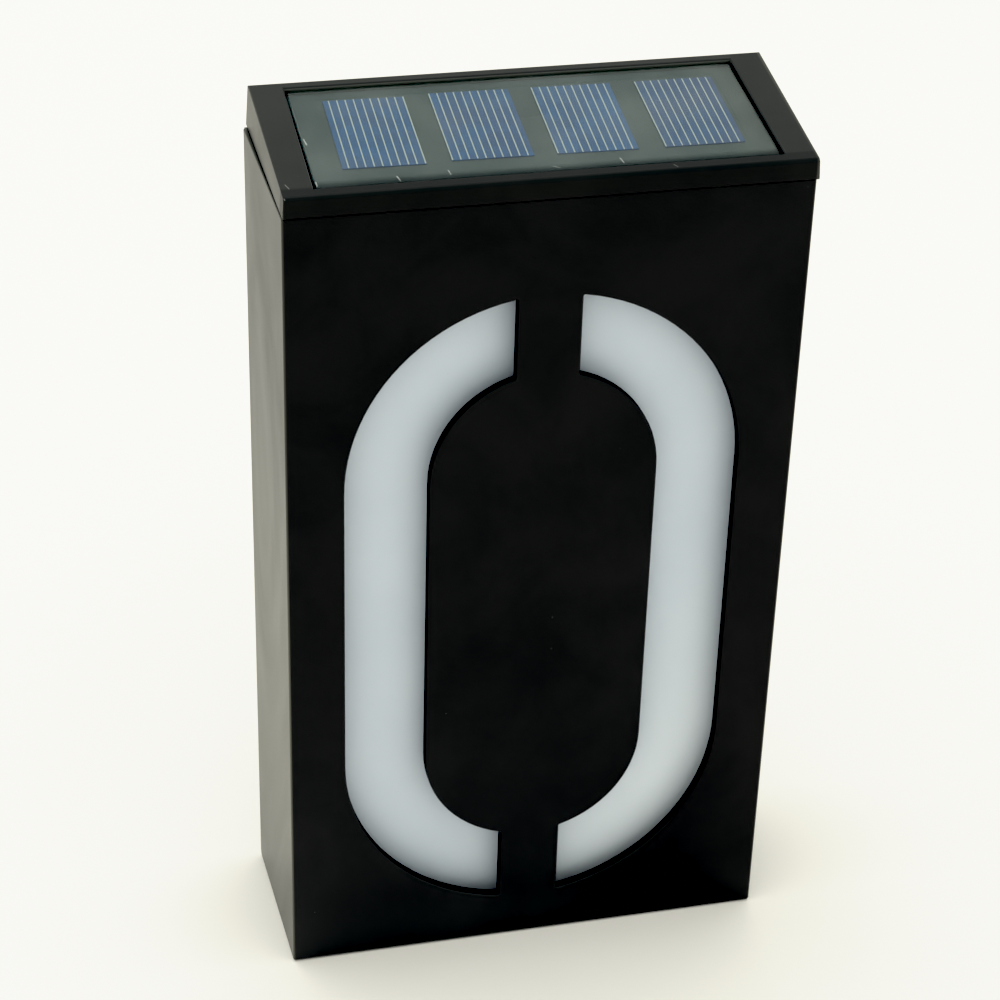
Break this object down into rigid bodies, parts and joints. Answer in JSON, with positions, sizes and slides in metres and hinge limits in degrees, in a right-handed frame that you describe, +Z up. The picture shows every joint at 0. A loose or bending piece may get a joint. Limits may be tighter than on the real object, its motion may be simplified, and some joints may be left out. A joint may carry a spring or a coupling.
{
  "type": "illuminated house number sign",
  "caption": "Solar wall sign: black housing with a backlit stencil numeral, sloping panel lid, rear cover with keyholes, switch and battery door.",
  "frame": {"origin": "centre of the overall box at the height of the flat base", "axes": "+X to the viewer's right, +Y into the wall, +Z up; the numeral faces -Y"},
  "size_m": [0.1024, 0.0384, 0.1814],
  "materials": {
    "shell_black": "moulded satin black plastic",
    "lid_black": "moulded satin black plastic",
    "cover_black": "moulded black plastic with a fine grain",
    "opal": "milky translucent sheet",
    "white_tray": "white moulded reflector",
    "board_white": "white solder mask",
    "led_lens": "clear lamp lens",
    "screw_steel": "zinc-plated steel",
    "seal_rubber": "black silicone rubber",
    "sleeve": "plain green shrink sleeve",
    "cell_steel": "nickel-plated can",
    "contact_metal": "nickel-plated spring metal",
    "board_green": "green solder mask",
    "chip_black": "moulded package",
    "ferrite": "dark ferrite drum",
    "capacitor_can": "aluminium can",
    "switch_metal": "pressed switch case",
    "knob_black": "black lever",
    "board_grey": "dark grey-green board",
    "foam": "black foam pad",
    "cell_blue": "blue crystalline silicon",
    "grid_silver": "printed silver lines",
    "clear_resin": "clear potting resin",
    "wire_red": "red insulation",
    "wire_black": "black insulation",
    "solder": "solder"
  },
  "bodies": {
    "sign": {"housing_shell": "shell_black", "diffuser_panel": "opal", "reflector_tray": "white_tray", "tray_screws": "screw_steel", "led_board": "board_white", "leds": "led_lens", "led_board_screws": "screw_steel", "rear_cover": "cover_black", "rear_gasket": "seal_rubber", "rear_cover_screws": "screw_steel", "battery_sleeve": "sleeve", "battery_cell": "cell_steel", "contact_plate_positive": "contact_metal", "contact_spring_negative": "contact_metal", "control_board": "board_green", "control_board_screws": "screw_steel", "driver_chip": "chip_black", "inductor": "ferrite", "smoothing_capacitor": "capacitor_can", "board_resistors": "chip_black", "switch_body": "switch_metal", "solar_lid": "lid_black", "lid_gasket": "seal_rubber", "lid_screws": "screw_steel", "solar_board": "board_grey", "panel_adhesive": "foam", "solar_cells": "cell_blue", "cell_grid_lines": "grid_silver", "panel_resin": "clear_resin", "solar_lead_positive": "wire_red", "solar_lead_negative": "wire_black", "battery_lead_positive": "wire_red", "battery_lead_negative": "wire_black", "led_lead_positive": "wire_red", "led_lead_negative": "wire_black", "solder_joints": "solder"},
    "switch": {"switch_knob": "knob_black"},
    "door": {"battery_door": "cover_black", "battery_door_gasket": "seal_rubber", "battery_door_screws": "screw_steel"}
  },
  "joints": [
    {"name": "switch_slide", "type": "slide", "parent": "sign", "child": "switch", "axis": [1, 0, 0], "range_m": [0, 0.002]},
    {"name": "battery_door_lift", "type": "slide", "parent": "sign", "child": "door", "axis": [0, 1, 0], "range_m": [0, 0.03]}
  ]
}
